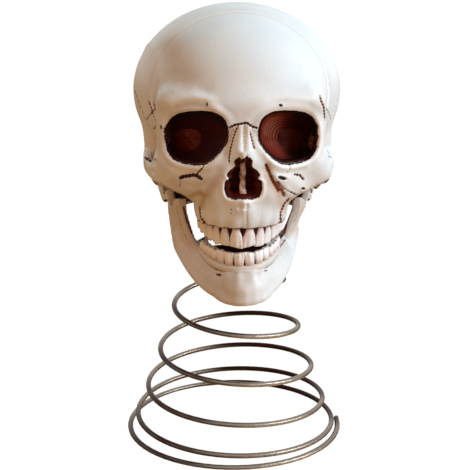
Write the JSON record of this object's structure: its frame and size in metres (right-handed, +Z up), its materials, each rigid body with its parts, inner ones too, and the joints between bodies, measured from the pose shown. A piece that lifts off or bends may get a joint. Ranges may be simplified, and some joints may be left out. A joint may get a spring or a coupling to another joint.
{
  "type": "skull tree topper",
  "caption": "Hollow skull with a hinged lower jaw on a conical wire spring that slips over the tip of a tree.",
  "frame": {"origin": "centre of the spring's lowest turn, on the ground", "axes": "+Z up along the spring, the face looks along -Y, +X is the skull's own left"},
  "size_m": [0.0985, 0.1179, 0.1915],
  "materials": {
    "steel": "bright drawn wire, polished",
    "bone": "cream white, satin, brown wash in the recesses",
    "tooth": "cream white, slightly glossy",
    "dark_wash": "very dark red-brown, glossy",
    "plug": "black"
  },
  "bodies": {
    "spring": {"cone_spring": "steel"},
    "skull": {"neck_plug": "plug", "spring_washer": "steel", "neck_screw": "steel", "face_shell": "bone", "back_shell": "bone", "upper_teeth": "tooth", "nose_insert": "dark_wash", "right_eye_cup": "dark_wash", "left_eye_cup": "dark_wash", "right_jaw_pin": "steel", "left_jaw_pin": "steel", "seam_dowel_1": "bone", "seam_dowel_2": "bone", "seam_dowel_3": "bone"},
    "jaw": {"lower_jaw": "bone", "lower_teeth": "tooth"}
  },
  "joints": [
    {"name": "spring_bounce", "type": "slide", "parent": "spring", "child": "skull", "axis": [0, 0, 1], "range_m": [-0.025, 0.006], "stiffness_N_per_m": 168, "springref_m": 0.0072, "deforming": ["cone_spring"]},
    {"name": "jaw_hinge", "type": "hinge", "parent": "skull", "child": "jaw", "pos_m": [0.0021, -0.004, 0.112], "axis": [1, 0, 0], "range_deg": [-2, 17]}
  ]
}
